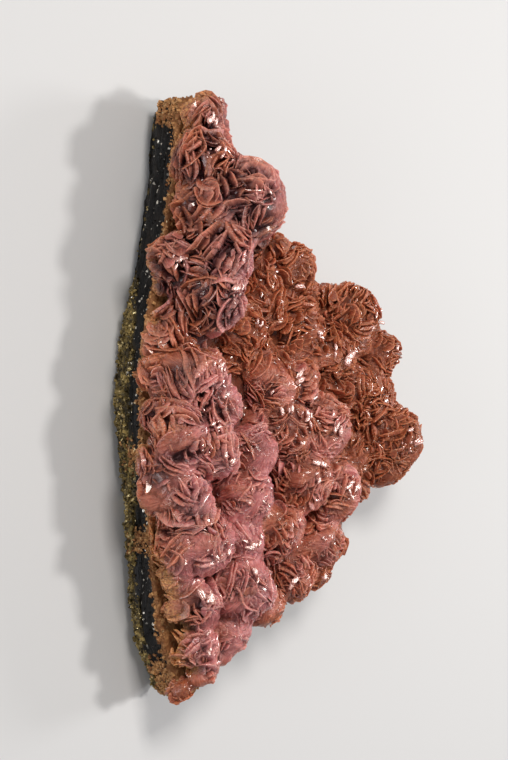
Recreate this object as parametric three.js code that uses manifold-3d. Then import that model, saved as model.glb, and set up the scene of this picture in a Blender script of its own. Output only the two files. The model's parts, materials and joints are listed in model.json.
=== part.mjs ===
// A rhodochrosite specimen lying on its back: a thin laminated black sulphide slab with an olive
// drusy crust below, an ochre iron-stained layer above, and a thick pelt of rhodochrosite rosettes.
// Millimetres, +Z up, +Y along the long broken edge, origin under the middle of the box.
import * as THREE from 'three';
import { mergeVertices } from 'three/addons/utils/BufferGeometryUtils.js';
import Module from 'manifold-3d';

const wasm = await Module();
wasm.setup();

// ---- Driving dimensions ----
const PLAN_CENTRE = new THREE.Vector2(23.2, 47.5); // middle of the plan, from the corner of the long edge
const JOINT_GAP = 0.3; // clear space left between two grown-together layers
const GRID_ROWS = 22; // cells along the specimen in each layer
const GRID_COLS = 8; // cells across it
const BACK_THICKNESS = 2.5; // olive drusy crust
const SLAB_THICK_LEFT = 5.0; // black slab at the long broken edge
const SLAB_THICK_RIGHT = 2.6; // and at the far side
const SLAB_THINS_OVER = 45; // width over which it thins
const OCHRE_THICKNESS = 0.9;
const SHEET_THICKNESS = 2.6; // rhodochrosite between the rosettes
const SHEET_OVERHANG = 0.4; // how far the sheet's top edge hangs out over the slab
const SHEET_ROOT = { depth: 2, inset: 1 }; // where the sheet starts, before the layers below cut it off
const SWELL = { height: 0.35, along: 0.16, across: 0.23, slant: 0.07 }; // slow waves, radians a millimetre
const FOOT_INSET = 1.2; // how far the resting face is set in from the edge
const CUT_DEPTH = 2; // how far below the resting face the cut in the rosettes goes
const ROSETTE_DETAIL = 1; // subdivision of each rosette's icosahedron
const ROSETTE_RIPPLE = 0.046; // unevenness of a rosette, as a share of its radius

// ---- Plan outline of the slab: the two long sides as smooth curves through [x, y] points ----
const LEFT_SIDE = curveOf([
  [3.4, 1.6], [-0.2, 10], [-1.6, 20], [-2.3, 31], [-3.6, 40], [-4.2, 47], [-3.4, 55],
  [-2.2, 62], [-0.6, 67], [0.6, 74], [1.8, 80], [2.4, 86], [2.6, 90], [3.6, 93.6],
]);
const RIGHT_SIDE = curveOf([
  [5.4, 1.6], [12.5, 8.5], [24, 14.5], [33, 20], [38, 26], [43, 33.5], [49, 38], [49.4, 44],
  [46.4, 51], [43.5, 58], [38, 63], [29, 67.5], [22, 71.5], [16, 77], [13, 84], [10.5, 90], [9.2, 93.6],
]);
const PLAN_START = 1.6;
const PLAN_END = 93.6;

// ---- Rosettes: [x, y, height of the middle, radius], grouped as they grew ----
const ROSETTES = {
  upper_lobe: [
    [5.9, 90.4, 10.5, 4.0], [4.5, 84.2, 12.0, 5.3], [10.5, 78.8, 14.0, 7.3], [4.1, 76.4, 12.5, 5.3],
    [-0.4, 68.8, 10.5, 3.9], [5.4, 68.8, 14.5, 5.6], [5.1, 62.4, 14.0, 5.5],
  ],
  long_ridge: [
    [-0.4, 58.1, 9.8, 3.5], [2.2, 51.1, 12.0, 5.9], [6.1, 46.4, 13.5, 4.4], [0.6, 42.5, 11.5, 5.8],
    [5.5, 39.4, 13.5, 4.4], [-1.2, 35.5, 11.0, 4.2], [1.0, 31.1, 12.5, 4.7], [0.0, 24.1, 11.5, 3.8],
    [4.7, 25.3, 13.0, 4.7], [3.3, 16.4, 12.0, 3.6], [3.5, 9.7, 11.3, 3.1], [3.6, 3.4, 9.0, 2.8],
  ],
  valley: [
    [14.4, 39.4, 12.0, 4.4], [12.9, 32.3, 12.5, 4.7], [12.3, 25.3, 12.0, 3.8], [12.5, 18.0, 12.5, 5.2],
    [11.6, 11.2, 10.0, 3.7], [8.3, 7.6, 9.0, 2.6], [14.2, 57.3, 9.5, 4.7], [18.7, 49.5, 10.0, 5.0],
  ],
  middle: [
    [25.1, 49.5, 9.5, 4.7], [22.3, 42.5, 11.0, 5.0], [29.2, 42.5, 11.5, 5.3], [25.4, 34.7, 11.5, 5.3],
    [32.4, 32.8, 10.5, 5.0], [20.6, 26.9, 11.0, 4.7], [29.7, 24.5, 9.5, 4.8], [24.5, 19.1, 9.0, 4.4],
    [20.7, 14.7, 8.5, 3.3], [30.4, 19.6, 8.0, 3.1],
  ],
  far_side: [
    [18.6, 63.6, 8.5, 4.7], [26.0, 68.3, 8.0, 4.2], [25.7, 58.4, 9.0, 5.2], [38.0, 60.6, 8.0, 5.2],
    [33.3, 55.0, 8.5, 4.7], [43.2, 54.7, 7.5, 4.5], [37.6, 49.5, 8.5, 4.1], [42.4, 46.9, 8.0, 4.7],
    [46.2, 41.4, 8.0, 5.6], [43.7, 36.6, 7.5, 4.1],
  ],
};

function curveOf(points) {
  return new THREE.CatmullRomCurve3(points.map(([x, y]) => new THREE.Vector3(x, y, 0)), false, 'centripetal');
}

// The side's x at a given y, found by halving: y always grows along both curves.
function sideAt(curve, y) {
  let low = 0;
  let high = 1;
  for (let step = 0; step < 30; step++) {
    const middle = (low + high) / 2;
    if (curve.getPoint(middle).y < y) low = middle;
    else high = middle;
  }
  return curve.getPoint(low).x;
}

// Slow waves that every bedding plane shares, each plane with its own phase.
function swell(x, y, phase) {
  const alongWave = Math.sin(SWELL.along * y + phase);
  const acrossWave = 0.7 * Math.sin(SWELL.across * x - SWELL.slant * y + 2 * phase);
  return SWELL.height * (alongWave + acrossWave);
}

// ---- Bedding planes, from the resting face up ----
const floorPlane = () => 0;
const backTop = (x, y) => BACK_THICKNESS + swell(x, y, 0);
function slabTop(x, y) {
  const across = THREE.MathUtils.smoothstep(x, 0, SLAB_THINS_OVER);
  return BACK_THICKNESS + THREE.MathUtils.lerp(SLAB_THICK_LEFT, SLAB_THICK_RIGHT, across) + swell(x, y, 1);
}
const ochreTop = (x, y) => slabTop(x, y) + OCHRE_THICKNESS;
const raised = (plane, by) => (x, y) => plane(x, y) + by;

// A closed solid between two planes over the slab's plan. Its upper rim is moved out by spread
// and its lower rim by footSpread, so that a negative footSpread gives a chamfered foot.
function layerSolid(lower, upper, spread = 0, footSpread = spread) {
  const positions = [];
  const indices = [];
  const across = GRID_COLS + 1;
  const count = (GRID_ROWS + 1) * across;
  for (const [plane, grow] of [[lower, footSpread], [upper, spread]]) {
    for (let row = 0; row <= GRID_ROWS; row++) {
      const share = row / GRID_ROWS;
      const sideY = THREE.MathUtils.lerp(PLAN_START, PLAN_END, share);
      const y = THREE.MathUtils.lerp(PLAN_START - grow, PLAN_END + grow, share);
      const left = sideAt(LEFT_SIDE, sideY) - grow;
      const right = sideAt(RIGHT_SIDE, sideY) + grow;
      for (let col = 0; col <= GRID_COLS; col++) {
        const x = THREE.MathUtils.lerp(left, right, col / GRID_COLS);
        positions.push(x, y, plane(x, y));
      }
    }
  }
  const quad = (a, b, c, d) => indices.push(a, b, c, a, c, d);
  for (let row = 0; row < GRID_ROWS; row++) {
    for (let col = 0; col < GRID_COLS; col++) {
      const a = row * across + col;
      quad(a, a + across, a + across + 1, a + 1);
      quad(count + a, count + a + 1, count + a + across + 1, count + a + across);
    }
  }
  const wall = (a, b) => quad(a, b, count + b, count + a);
  for (let col = 0; col < GRID_COLS; col++) {
    wall(col, col + 1);
    wall(GRID_ROWS * across + col + 1, GRID_ROWS * across + col);
  }
  for (let row = 0; row < GRID_ROWS; row++) {
    wall((row + 1) * across, row * across);
    wall(row * across + GRID_COLS, (row + 1) * across + GRID_COLS);
  }
  const geometry = new THREE.BufferGeometry();
  geometry.setAttribute('position', new THREE.Float32BufferAttribute(positions, 3));
  geometry.setIndex(indices);
  return geometry;
}

// One rosette as a slightly uneven ball.
function rosetteSolid([x, y, z, radius], index) {
  const geometry = new THREE.IcosahedronGeometry(radius, ROSETTE_DETAIL);
  const place = geometry.getAttribute('position');
  const point = new THREE.Vector3();
  for (let i = 0; i < place.count; i++) {
    point.fromBufferAttribute(place, i);
    const unit = point.clone().normalize();
    const ripple = Math.sin(5 * unit.x + index) * Math.sin(4 * unit.y + 2 * index) * Math.cos(6 * unit.z - index);
    point.multiplyScalar(1 + ROSETTE_RIPPLE * ripple);
    place.setXYZ(i, point.x + x, point.y + y, point.z + z);
  }
  return geometry;
}

// ---- Booleans ----
function toManifold(geometry) {
  const bare = geometry.clone();
  bare.deleteAttribute('normal');
  bare.deleteAttribute('uv');
  const merged = mergeVertices(bare, 1e-3);
  return new wasm.Manifold(new wasm.Mesh({
    numProp: 3,
    vertProperties: merged.getAttribute('position').array,
    triVerts: new Uint32Array(merged.index.array),
  }));
}

function toGeometry(manifold) {
  const mesh = manifold.getMesh();
  const geometry = new THREE.BufferGeometry();
  geometry.setAttribute('position', new THREE.BufferAttribute(Float32Array.from(mesh.vertProperties), 3));
  geometry.setIndex(Array.from(mesh.triVerts));
  return geometry;
}

// All rosettes grew into one another and into the sheet between them, so they are one solid.
// The layers below are cut out of it, so that rosettes at the rim hang down over the edge.
function rhodochrositeSolid() {
  const sheetFoot = raised(ochreTop, JOINT_GAP);
  const sheetRoot = raised(sheetFoot, -SHEET_ROOT.depth);
  const sheetTop = raised(sheetFoot, SHEET_THICKNESS);
  const sheet = layerSolid(sheetRoot, sheetTop, SHEET_OVERHANG, -SHEET_ROOT.inset);
  let crust = toManifold(sheet);
  Object.values(ROSETTES).flat().forEach((rosette, index) => {
    crust = crust.add(toManifold(rosetteSolid(rosette, index)));
  });
  const below = layerSolid(raised(floorPlane, -CUT_DEPTH), sheetFoot, JOINT_GAP);
  return toGeometry(crust.subtract(toManifold(below)));
}

// ---- The specimen ----
function piece(name, geometry, color, roughness, metalness) {
  geometry.computeVertexNormals();
  const mesh = new THREE.Mesh(geometry, new THREE.MeshStandardMaterial({ color, roughness, metalness }));
  mesh.name = name;
  return mesh;
}

const specimen = new THREE.Group();
specimen.add(
  piece('back_crust', layerSolid(floorPlane, backTop, 0, -FOOT_INSET), 0x5c5224, 0.5, 0.4),
  piece('black_slab', layerSolid(raised(backTop, JOINT_GAP), slabTop), 0x121014, 0.35, 0.2),
  piece('ochre_layer', layerSolid(raised(slabTop, JOINT_GAP), ochreTop), 0x9a6a35, 0.8, 0),
  piece('rhodochrosite', rhodochrositeSolid(), 0xa8605a, 0.35, 0),
);
specimen.position.set(-PLAN_CENTRE.x, -PLAN_CENTRE.y, 0);

export default specimen;
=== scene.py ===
# %% [markdown]
# # A rhodochrosite specimen
# This is a natural mineral plate, about 94 mm long. A thin slab of black, laminated sulphide has a
# crust of olive-brown druse on its back and an ochre, iron-stained layer on its front. On that grew
# a thick pelt of rosettes, each a ball of thin curved rhodochrosite blades, mauve-pink along the
# broken edge and orange-brown at the far side. It lies on its back.
#
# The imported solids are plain: faceted balls on three flat layers. Each layer is made again here
# with its real surface, which stays within about a millimetre of the box round the solids.

# %% Load the frame
import json
import math

import bmesh
import bpy
import numpy as np
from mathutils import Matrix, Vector

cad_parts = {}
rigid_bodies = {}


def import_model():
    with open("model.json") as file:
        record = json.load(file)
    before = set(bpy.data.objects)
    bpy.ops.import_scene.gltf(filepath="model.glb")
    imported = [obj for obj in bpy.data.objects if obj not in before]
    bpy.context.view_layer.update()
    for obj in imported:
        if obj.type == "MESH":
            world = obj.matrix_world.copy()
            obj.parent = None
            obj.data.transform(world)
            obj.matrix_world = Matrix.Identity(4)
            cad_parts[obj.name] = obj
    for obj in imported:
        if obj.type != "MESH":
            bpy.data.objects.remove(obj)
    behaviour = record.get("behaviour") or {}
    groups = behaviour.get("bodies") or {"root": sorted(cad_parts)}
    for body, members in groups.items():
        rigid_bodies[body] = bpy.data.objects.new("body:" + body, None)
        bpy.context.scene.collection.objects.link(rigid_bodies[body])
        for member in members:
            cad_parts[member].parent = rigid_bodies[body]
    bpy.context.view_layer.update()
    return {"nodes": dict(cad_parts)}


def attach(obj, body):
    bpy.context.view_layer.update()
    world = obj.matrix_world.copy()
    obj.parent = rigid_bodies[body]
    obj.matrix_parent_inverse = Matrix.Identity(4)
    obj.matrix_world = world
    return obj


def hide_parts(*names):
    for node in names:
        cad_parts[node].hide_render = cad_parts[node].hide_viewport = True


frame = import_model()
MM = 0.001  # the frame is in metres, and the sizes below are easier to read in millimetres

# %% [markdown]
# ## Camera
# The specimen can't stand on its pointed ends, so it lies on the floor and the camera looks down.
# It is turned 40 degrees away from straight down, towards the broken edge, so the black slab and
# the olive crust show beside the rosettes. Turning the camera about Y alone keeps +Y upright in
# the view. A long lens from half a metre away gives little perspective, as with a macro lens.

# %% Camera
VIEW_TILT = math.radians(40)
LENS = 135
VIEW_HEIGHT = 118.75 * MM  # what the view takes in from top to bottom at the specimen
SENSOR = 36
AIM = Vector((-6.1, 2.8, 9.7)) * MM
to_camera = Vector((-math.sin(VIEW_TILT), 0, math.cos(VIEW_TILT)))
view_right = Vector((math.cos(VIEW_TILT), 0, math.sin(VIEW_TILT)))
view_up = Vector((0, 1, 0))

camera_data = bpy.data.cameras.new("camera")
camera_data.lens = LENS
camera_data.sensor_width = SENSOR
camera_data.clip_start = 0.01
camera = bpy.data.objects.new("camera", camera_data)
camera.location = AIM + to_camera * (VIEW_HEIGHT * LENS / SENSOR)
camera.rotation_euler = (0, -VIEW_TILT, 0)
bpy.context.scene.collection.objects.link(camera)
bpy.context.scene.camera = camera
print("camera distance, mm:", round((camera.location - AIM).length / MM))

# %% [markdown]
# ## Light
# A soft key light stands above the upper right of the view, and a wide weak one lights the broken
# edge from the left. A small hard one at the right makes the white glints on the blades, and one
# from behind draws thin bright rims along the far side. Large lights keep the shadows soft.

# %% Lights
def area_light(name, direction, distance, size, power, colour=(1, 1, 1)):
    """A square soft box. Its direction from the specimen is given as right, up, towards the camera."""
    data = bpy.data.lights.new(name, "AREA")
    data.size = size
    data.energy = power
    data.color = colour
    light = bpy.data.objects.new(name, data)
    way = (view_right * direction[0] + view_up * direction[1] + to_camera * direction[2]).normalized()
    light.location = AIM + way * distance
    light.rotation_euler = way.to_track_quat("Z", "Y").to_euler()
    bpy.context.scene.collection.objects.link(light)
    return light


area_light("key_light", (0.38, 0.56, 0.73), 0.75, 0.22, 3.2, (1.0, 0.96, 0.90))
side_light = area_light("side_light", (0.97, 0.02, 0.22), 0.55, 0.06, 1.2, (1.0, 0.97, 0.93))
area_light("fill_light", (-0.60, -0.15, 0.78), 0.70, 0.40, 1.35, (0.92, 0.95, 1.0))
area_light("rim_light", (0.90, 0.10, -0.25), 0.55, 0.12, 0.8)

bpy.context.scene.view_settings.view_transform = "Standard"
print("lights:", sorted(light.name for light in bpy.data.lights))

# %% [markdown]
# ## Floor
# The floor is one large flat disc, a hair's breadth under the specimen so that the two don't
# flicker into each other.

# %% Floor
bpy.ops.object.select_all(action="DESELECT")
bpy.ops.mesh.primitive_circle_add(vertices=96, radius=4, fill_type="NGON", location=(0, 0, -0.02 * MM))
floor = bpy.context.object
floor.name = "floor"
print("floor, m across:", round(floor.dimensions.x, 1))

# %% [markdown]
# ## Helpers for materials
# A material is a tree of nodes. `Signal` wraps one socket so that a formula such as `1 - mask * 0.5`
# adds its Math nodes by itself. Any other node comes from `Signal.node`. The noises come from
# `Signal.noise`, because nearly every finish here is broken up by them.

# %% Signal
class Signal:
    """A socket of a node tree that Python's arithmetic acts on."""

    def __init__(self, tree, socket=None):
        self.tree = tree
        self.socket = socket

    def node(self, kind, settings=None, sockets=None, output=0):
        """Adds a node: its settings first, then its input values or links."""
        made = self.tree.nodes.new(kind)
        for name, value in (settings or {}).items():
            setattr(made, name, value)
        for name, value in (sockets or {}).items():
            if isinstance(value, Signal):
                self.tree.links.new(value.socket, made.inputs[name])
            else:
                made.inputs[name].default_value = value
        return Signal(self.tree, made.outputs[output])

    def maths(self, operation, *values, clamp=False):
        settings = {"operation": operation, "use_clamp": clamp}
        return self.node("ShaderNodeMath", settings, dict(enumerate(values)))

    def noise(self, place, scale, detail):
        """Soft random clouds over a place, from 0 to 1."""
        sockets = {"Vector": place, "Scale": scale, "Detail": detail}
        return self.node("ShaderNodeTexNoise", None, sockets, output="Fac")

    def attribute(self, name):
        """A number that is kept at every point of the mesh."""
        return self.node("ShaderNodeAttribute", {"attribute_name": name}, output="Fac")

    def __add__(self, other):
        return self.maths("ADD", self, other)

    def __sub__(self, other):
        return self.maths("SUBTRACT", self, other)

    def __rsub__(self, other):
        return self.maths("SUBTRACT", other, self)

    def __mul__(self, other):
        return self.maths("MULTIPLY", self, other)

    def __pow__(self, other):
        return self.maths("POWER", self, other)

    __radd__ = __add__
    __rmul__ = __mul__

    def clamped(self):
        return self.maths("ADD", self, 0.0, clamp=True)

    def between(self, low, high):
        """0 below low, 1 above high, and a smooth step from one to the other."""
        scaled = self.maths("DIVIDE", self - low, high - low, clamp=True)
        return scaled * scaled * (3 - 2 * scaled)

    def mix(self, low, high):
        """The colour low where this signal is 0 and high where it is 1."""
        return self.node("ShaderNodeMix", {"data_type": "RGBA"}, {0: self, 6: low, 7: high}, output=2)


def new_material(name):
    """A material with a bare Principled shader, and a Signal to start its tree from."""
    material = bpy.data.materials.new(name)
    material.use_nodes = True
    return material, Signal(material.node_tree), material.node_tree.nodes["Principled BSDF"]


def feed(shader, socket_name, signal):
    """Links a signal to one of a shader's sockets."""
    signal.tree.links.new(signal.socket, shader.inputs[socket_name])


def rgb(red, green, blue):
    return (red, green, blue, 1.0)


print("materials at the start:", len(bpy.data.materials))

# %% [markdown]
# ## Surroundings
# A dim even grey from all round lightens the shadows. What the camera itself sees past the floor's
# end is a brighter grey. It is as pale as the floor's far end, so that hardly any horizon shows in
# a low view. The Is Camera Ray output tells the two apart.

# %% World
world = bpy.data.worlds.new("studio")
world.use_nodes = True
bpy.context.scene.world = world
surroundings = Signal(world.node_tree)
seen = surroundings.node("ShaderNodeLightPath", output="Is Camera Ray")
dim = surroundings.node("ShaderNodeBackground", None, {"Color": rgb(0.8, 0.8, 0.8), "Strength": 0.28})
pale = {"Color": rgb(0.8, 0.8, 0.8), "Strength": 0.75}
backdrop = surroundings.node("ShaderNodeBackground", None, pale)
both = surroundings.node("ShaderNodeMixShader", None, {0: seen, 1: dim, 2: backdrop})
world.node_tree.links.new(both.socket, world.node_tree.nodes["World Output"].inputs["Surface"])
print("world nodes:", len(world.node_tree.nodes))

# %% [markdown]
# ## Where the rosettes are
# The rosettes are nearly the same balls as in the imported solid. Each is given as
# `[x, y, height of the middle, radius]` in millimetres, with x and y from the lower end of the
# broken edge. Each group of rosettes also says how it looks:
#
# - `orange` is its colour, where 0 is mauve-pink and 1 is orange-brown.
# - `open` says how much of it has gaps between the blades: much of it at 1, half of it at 0.5.
# - `pits` says how deep those gaps are, and `size` how large the blades are.
# - `shut` says how far the sides away from the broken edge have grown closed.

# %% Rosettes
PLAN_CENTRE = np.array([23.2, 47.5, 0.0])
ROSETTES = {
    "upper_lobe": {
        "orange": 0.38, "open": 1.0, "pits": 1.0, "size": 1.12, "shut": 0.85,
        "balls": [
            [5.6, 90.2, 10.4, 3.8], [4.5, 84.2, 12.0, 5.3], [10.6, 77.8, 14.0, 7.6], [4.5, 76.4, 12.5, 5.2],
        ],
    },
    "lower_lobe": {
        "orange": 0.15, "open": 1.0, "pits": 1.0, "size": 1.12, "shut": 0.85,
        "balls": [[-0.4, 68.8, 10.5, 3.9], [5.9, 69.2, 14.5, 5.8], [5.1, 62.4, 14.0, 5.5]],
    },
    "long_ridge": {
        "orange": 0.20, "open": 0.7, "pits": 0.65, "size": 1.12, "shut": 0.85,
        "balls": [
            [-0.4, 58.1, 9.8, 3.5], [2.2, 51.1, 12.0, 5.9], [6.1, 46.4, 13.5, 4.4], [0.6, 42.5, 11.5, 5.8],
            [5.5, 39.4, 13.5, 4.4], [-1.2, 35.5, 11.0, 4.2], [1.0, 31.1, 12.5, 4.7], [0.0, 24.1, 11.5, 3.8],
            [4.7, 25.3, 13.0, 4.7], [4.0, 16.4, 12.0, 3.6], [4.4, 9.7, 11.3, 3.1],
        ],
    },
    "valley": {
        "orange": 0.10, "open": 0.5, "pits": 0.35, "size": 0.95, "shut": 0.7,
        "balls": [
            [14.4, 39.4, 12.0, 4.4], [12.9, 32.3, 12.5, 4.7], [12.3, 25.3, 12.0, 3.8],
            [12.5, 18.0, 12.5, 5.2], [11.6, 11.2, 10.0, 3.7], [7.0, 8.6, 8.8, 2.2],
        ],
    },
    "middle": {
        "orange": 0.50, "open": 0.7, "pits": 0.35, "size": 0.90, "shut": 0.5,
        "balls": [
            [25.1, 49.5, 9.5, 4.7], [22.3, 42.5, 11.0, 5.0], [29.2, 42.5, 11.5, 5.3], [25.4, 34.7, 11.5, 5.3],
            [32.4, 32.8, 10.5, 5.0], [20.6, 26.9, 11.0, 4.7], [29.7, 24.5, 9.5, 4.8], [24.5, 19.1, 9.0, 4.4],
            [20.7, 14.7, 8.5, 3.3], [30.4, 19.6, 8.0, 3.1], [18.7, 49.5, 10.0, 5.0],
        ],
    },
    "far_side": {
        "orange": 1.05, "open": 1.0, "pits": 0.34, "size": 0.80, "shut": 0.30,
        "balls": [
            [18.6, 63.6, 8.5, 4.7], [26.0, 68.3, 8.0, 4.2], [25.7, 58.4, 9.0, 5.2], [38.6, 60.9, 8.2, 5.5],
            [33.3, 55.0, 8.5, 4.7], [44.0, 54.9, 7.8, 4.8], [37.6, 49.5, 8.5, 4.1], [42.4, 46.9, 8.0, 4.7],
            [47.5, 40.8, 8.2, 5.9], [45.2, 36.5, 7.7, 4.4], [14.2, 57.3, 9.5, 4.7], [3.1, 2.6, 8.8, 2.3],
        ],
    },
}
all_balls = np.array([ball for group in ROSETTES.values() for ball in group["balls"]], float)
all_centres = all_balls[:, :3] - PLAN_CENTRE
all_radii = all_balls[:, 3]
print("rosettes:", len(all_balls), "largest radius, mm:", all_radii.max())

# %% [markdown]
# ## The outline and the seat of the rosettes
# The slab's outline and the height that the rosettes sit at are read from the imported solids, so a
# blade or grain is put where the solid really is.

# %% Outline and seat
def node_points(name):
    """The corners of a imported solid, in millimetres."""
    return np.array([vertex.co for vertex in frame["nodes"][name].data.vertices]) / MM


def side_corners(points, pick):
    """The outline's y and x values, row by row, on the side that pick takes: min or max."""
    rows = {}
    for x, y, _ in points:
        rows.setdefault(round(float(y), 1), []).append(x)
    along = sorted(rows)
    across = [pick(rows[y]) for y in along]
    return along, across


slab_points = node_points("black_slab")
left_corners = side_corners(slab_points, min)
right_corners = side_corners(slab_points, max)
ochre_points = node_points("ochre_layer")


def left_side(y):
    """The x of the broken edge at a given y."""
    return np.interp(y, *left_corners)


def right_side(y):
    """The x of the far edge at a given y."""
    return np.interp(y, *right_corners)


def seat_height(x, y):
    """The height of the ochre layer's top under a point, from the solid's nearest corners."""
    near = np.hypot(ochre_points[:, 0] - x, ochre_points[:, 1] - y) < 7
    return float(ochre_points[near, 2].max()) if near.any() else 8.0


print("outline at the middle, mm:", round(float(left_side(0)), 1), round(float(right_side(0)), 1))

# %% [markdown]
# ## Small rosettes
# Between the large rosettes the sheet carries smaller ones. They are strewn at random where there
# is room, sunk a little into the sheet, and take the colour of the nearest large rosette.

# %% Small rosettes
SHEET_TOP = 2.6  # the rhodochrosite between the rosettes, above its seat
SHEET_ENDS = (-42, 45.3)  # the lower and upper end of the sheet
SMALL_RADII = (1.8, 3.2)


def small_rosettes(rng, tries):
    """Small rosettes on the bare sheet, as [x, y, z, radius], apart from each other and the large ones."""
    found = []
    for _ in range(tries):
        y = rng.uniform(*SHEET_ENDS)
        from_left = 1.4 if abs(y + 2) > 22 else -0.3
        from_right = 3.0 if y < -28 else 0.5
        x = rng.uniform(left_side(y) + from_left, right_side(y) - from_right)
        radius = rng.uniform(*SMALL_RADII)
        place = np.array([x, y, seat_height(x, y) + SHEET_TOP - 0.35 * radius])
        to_large = np.linalg.norm(all_centres - place, axis=1) - all_radii
        if (to_large < -0.25 * radius).any():
            continue
        if any(np.linalg.norm(place - other[:3]) < 0.75 * (radius + other[3]) for other in found):
            continue
        found.append([*place, radius])
    return np.array(found)


small = small_rosettes(np.random.default_rng(7), 4000)
skin_centres = np.concatenate([all_centres, small[:, :3]])
skin_radii = np.concatenate([all_radii, small[:, 3]])
print("small rosettes:", len(small))

# %% [markdown]
# ## The skin of the pelt
# The rosettes run into each other. Their common skin is a smooth union of all balls: it follows each
# ball, and rounds out the grooves where they meet. The blades' rims reach up to this skin. It is
# never a mesh, only a distance that is worked out for any point by adding up the balls' shares.

# %% Skin
BLEND = 1.3  # per mm; the smaller, the more the grooves fill up


def unit(vector):
    return vector / np.linalg.norm(vector)


def turned(vector, axis, angle):
    """vector turned about a unit axis."""
    around = np.cross(axis, vector) * math.sin(angle)
    return vector * math.cos(angle) + around + axis * np.dot(axis, vector) * (1 - math.cos(angle))


def skin_distance(points):
    """How far points lie outside the skin, in mm, and how much each ball takes part there."""
    apart = np.linalg.norm(points[:, None] - skin_centres, axis=2) - skin_radii
    nearest = apart.min(axis=1, keepdims=True)
    share = np.exp(-BLEND * (apart - nearest))
    total = share.sum(axis=1, keepdims=True)
    return (nearest - np.log(total) / BLEND)[:, 0], share / total


def skin_normals(points, share):
    """The way out of the skin near each point."""
    ways = points[:, None] - skin_centres
    ways /= np.linalg.norm(ways, axis=2, keepdims=True) + 1e-9
    out = (ways * share[:, :, None]).sum(axis=1)
    return out / (np.linalg.norm(out, axis=1, keepdims=True) + 1e-9)


def skin_normal(point):
    return skin_normals(point[None], skin_distance(point[None])[1])[0]


print("skin over", len(skin_radii), "balls")

# %% [markdown]
# ## Soft random fields
# Nothing in a natural specimen is quite even. A sum of a few sine waves with random directions
# gives each point in space a number that changes slowly, with the same result in each run. It
# moves points and opens gaps, which a texture in a material can't do.

# %% Random fields
def waves(seed, lengths, count=5):
    """A soft random field: a function that gives each point a number between about -1 and 1."""
    rng = np.random.default_rng(seed)
    parts = []
    for length in lengths:
        for _ in range(count):
            parts.append((2 * math.pi / length * unit(rng.normal(size=3)), rng.uniform(0, 6.3)))

    def field(points):
        return sum(np.sin(points @ pitch + phase) for pitch, phase in parts) / math.sqrt(2 * len(parts))

    return field


def smooth_step(values, low, high):
    step = np.clip((values - low) / (high - low), 0, 1)
    return step * step * (3 - 2 * step)


print("a step half way up:", smooth_step(0.5, 0, 1))

# %% [markdown]
# ## Where it is orange, stained and open
# The look changes from place to place, and the solids say nothing about it. So it is worked out
# here for any point: the groups' own numbers, blended where rosettes meet, and then a few things
# that belong to places. The sides away from the broken edge have grown shut, and they are painted
# more mauve as cool shade.
# Ochre stain creeps up from below along the broken edge. One patch there is small and orange.

# %% Colour and openness
group_list = list(ROSETTES.values())
ball_group = [index for index, group in enumerate(group_list) for _ in group["balls"]]


def nearest_large(place):
    """The group of the large rosette that is nearest to a small one."""
    return ball_group[int(np.argmin(np.linalg.norm(all_centres - place[:3], axis=1) - all_radii))]


skin_group = ball_group + [nearest_large(place) for place in small]


def by_ball(key):
    """One of the groups' numbers, once for each ball of the skin."""
    return np.array([group_list[group][key] for group in skin_group])


skin_orange = by_ball("orange")
skin_pits = by_ball("pits")
skin_open = by_ball("open")
skin_shut = by_ball("shut")
openness_waves = waves(21, (9, 5.5))
away_from_edge = np.array([0.80, -0.25, 0.15])


def granular_patch(points):
    """One place at the broken edge where the blades are small and orange: 1 in its middle."""
    return np.exp(-((points[:, :2] - np.array([-22.5, 10.0])) ** 2).sum(axis=1) / 30)


def orange_at(points, share):
    """How orange the rhodochrosite is: by group, more near the edge, and less on the sides away from it,
    where a more mauve colour is painted as shade.
    """
    edge = smooth_step(left_side(points[:, 1]) - points[:, 0], -6.0, 0.0)
    right_rim = smooth_step(points[:, 0] - right_side(points[:, 1]), -5.0, 0.0)
    lower_rim = right_rim * smooth_step(-points[:, 1], 5, 20)
    by_group = share @ skin_orange
    # Painted shade: the sides turned away from the broken edge are made less orange and more mauve, standing
    # in for the cool shade on those sides.
    mauve_shade_side = skin_normals(points, share) @ away_from_edge
    orange = by_group - 0.45 * (1 - by_group) * mauve_shade_side + 0.03
    return orange + 0.38 * granular_patch(points) + 0.12 * edge + 0.5 * lower_rim


def stain_at(points):
    """How far iron stain has crept up from the ochre layer along the broken edge: 0 to 1."""
    from_edge = points[:, 0] - left_side(points[:, 1])
    y = points[:, 1]
    higher_at_ends = 2.6 * smooth_step(-y, 14, 26) + 2.6 * smooth_step(y, 36, 41)
    top = 9.4 + higher_at_ends + 0.8 * openness_waves(points * 1.5)
    stain = smooth_step(-from_edge, -5.5, -2.5) * smooth_step(top - points[:, 2], -0.6, 1.2)
    return stain * smooth_step(y, -43, -41)


def openness(points, normals, share):
    """How deep the surface lies under the skin, in mm."""
    turned_away = normals @ away_from_edge + 0.25 * openness_waves(points + 50)
    shut = smooth_step(turned_away, 0.0, 0.7) * (share @ skin_shut)
    wide = openness_waves(points) + 1.6 * (share @ skin_open - 0.5) + 0.6 * granular_patch(points)
    open_here = smooth_step(wide, -0.7, 0.7)
    return 0.19 + (0.55 + 1.4 * (share @ skin_pits)) * open_here * (1 - shut)


def painted_gap_shade(outside, share):
    """How much painted shade a gap gets: 0 at the skin and 1 where a gap is painted as dark as it gets, which
    is less deep in the open groups.
    """
    return np.clip(-outside / (2.1 - 0.9 * (share @ skin_pits)), 0, 1)


print("balls in each group, with the small ones:", np.bincount(skin_group).tolist())

# %% [markdown]
# ## Helpers for meshes
# Operators act on what is selected, so each starts from a clean selection. A mesh's points are read
# and stored as one array. The values at its points are kept as attributes, which the finishes read.

# %% Mesh helpers
def select_only(piece):
    """Selects one piece and makes it active, so that the next operators act on it alone."""
    bpy.ops.object.select_all(action="DESELECT")
    piece.select_set(True)
    bpy.context.view_layer.objects.active = piece


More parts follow.
